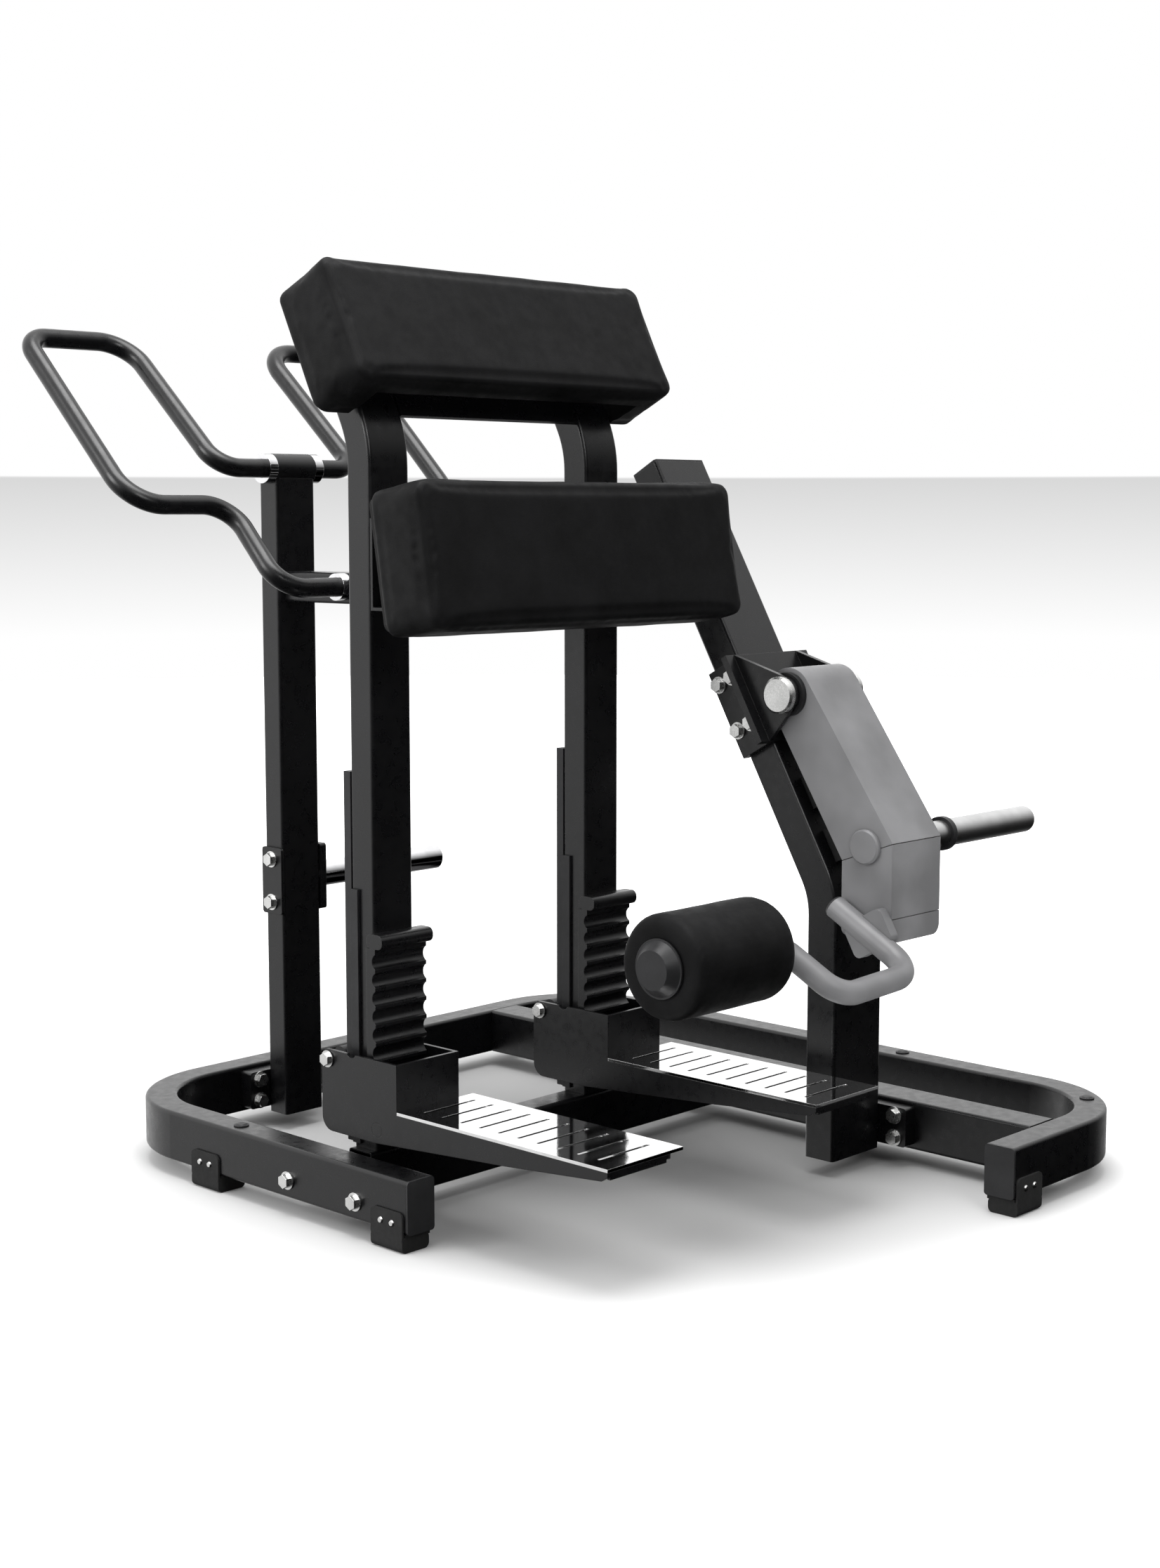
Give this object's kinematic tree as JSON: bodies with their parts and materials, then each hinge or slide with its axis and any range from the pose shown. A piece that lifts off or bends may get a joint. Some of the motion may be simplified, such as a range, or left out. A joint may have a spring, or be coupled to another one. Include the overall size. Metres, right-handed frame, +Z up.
{
  "type": "standing leg curl machine",
  "caption": "Plate-loaded standing leg curl machine: a swinging lever with a roller pad, a chest pad and a thigh pad, looped handles and height-adjustable foot platforms.",
  "frame": {"origin": "centre of the whole machine's footprint (its bounding box), on the floor", "axes": "+X along the weight horn, towards the user's right; +Y away from the standing user, towards the handles; +Z up"},
  "size_m": [1.2944, 1.5865, 1.5414],
  "materials": {
    "frame_black": "satin powder coat",
    "end_cap_plastic": "moulded, slightly matt",
    "foot_rubber": "matt rubber",
    "zinc_bolts": "zinc plated",
    "bright_steel": "bright chrome",
    "pad_vinyl": "fine-grained black vinyl over foam",
    "pad_board": "plywood under a black cover",
    "lever_grey": "satin grey powder coat",
    "horn_steel": "satin",
    "black_plastic": "nylon, slightly matt",
    "step_steel": "polished stainless sheet"
  },
  "bodies": {
    "frame": {"base_tube": "frame_black", "inner_rail": "frame_black", "cross_bar": "frame_black", "tube_end_caps": "end_cap_plastic", "base_feet": "foot_rubber", "frame_bolts": "zinc_bolts", "left_upright": "frame_black", "right_upright": "frame_black", "top_cross_plate": "frame_black", "mid_cross_bar": "frame_black", "tie_bar": "frame_black", "rear_post": "frame_black", "rear_post_flange": "frame_black", "handle_hub": "frame_black", "left_handle": "frame_black", "right_handle": "frame_black", "handle_collars": "bright_steel", "storage_horn": "bright_steel", "storage_clamp": "frame_black", "right_post": "frame_black", "post_link": "frame_black", "right_post_flange": "frame_black", "pivot_bracket": "frame_black", "bracket_bolts": "zinc_bolts", "pivot_shaft": "bright_steel", "pivot_caps": "zinc_bolts", "lever_stops": "foot_rubber", "upper_pad": "pad_vinyl", "upper_pad_board": "pad_board", "lower_pad": "pad_vinyl", "lower_pad_board": "pad_board", "pad_brackets": "frame_black", "left_rack": "frame_black", "right_rack": "frame_black", "guide_strips": "black_plastic"},
    "lever": {"lever_upper": "lever_grey", "lever_lower": "lever_grey", "lever_cap": "lever_grey", "horn_boss": "lever_grey", "lever_bushings": "black_plastic", "weight_horn": "horn_steel", "horn_stop": "black_plastic", "roller_arm": "lever_grey", "arm_clamp": "lever_grey", "arm_end_cap": "end_cap_plastic"},
    "roller": {"roller_pad": "pad_vinyl", "roller_core": "black_plastic", "roller_caps": "black_plastic"},
    "left_truck": {"left_axle": "zinc_bolts", "left_guide_roller": "black_plastic"},
    "left_platform": {"left_carriage": "frame_black", "left_foot_plate": "step_steel", "left_lock_bar": "frame_black", "left_bumpers": "foot_rubber"},
    "right_truck": {"right_axle": "zinc_bolts", "right_guide_roller": "black_plastic"},
    "right_platform": {"right_carriage": "frame_black", "right_foot_plate": "step_steel", "right_lock_bar": "frame_black", "right_bumpers": "foot_rubber"}
  },
  "joints": [
    {"name": "lever_swing", "type": "hinge", "parent": "frame", "child": "lever", "pos_m": [0.21375, -0.335, 0.838], "axis": [-1, 0, 0], "range_deg": [0, 105]},
    {"name": "roller_spin", "type": "hinge", "parent": "lever", "child": "roller", "pos_m": [-0.26175, -0.503, 0.459], "axis": [1, 0, 0], "continuous": true},
    {"name": "left_platform_height", "type": "slide", "parent": "frame", "child": "left_truck", "axis": [0, 0, 1], "range_m": [0, 0.09]},
    {"name": "left_platform_tilt", "type": "hinge", "parent": "left_truck", "child": "left_platform", "pos_m": [-0.50925, 0.045, 0.262], "axis": [-1, 0, 0], "range_deg": [0, 4]},
    {"name": "right_platform_height", "type": "slide", "parent": "frame", "child": "right_truck", "axis": [0, 0, 1], "range_m": [0, 0.09]},
    {"name": "right_platform_tilt", "type": "hinge", "parent": "right_truck", "child": "right_platform", "pos_m": [-0.01425, 0.045, 0.262], "axis": [-1, 0, 0], "range_deg": [0, 4]}
  ]
}
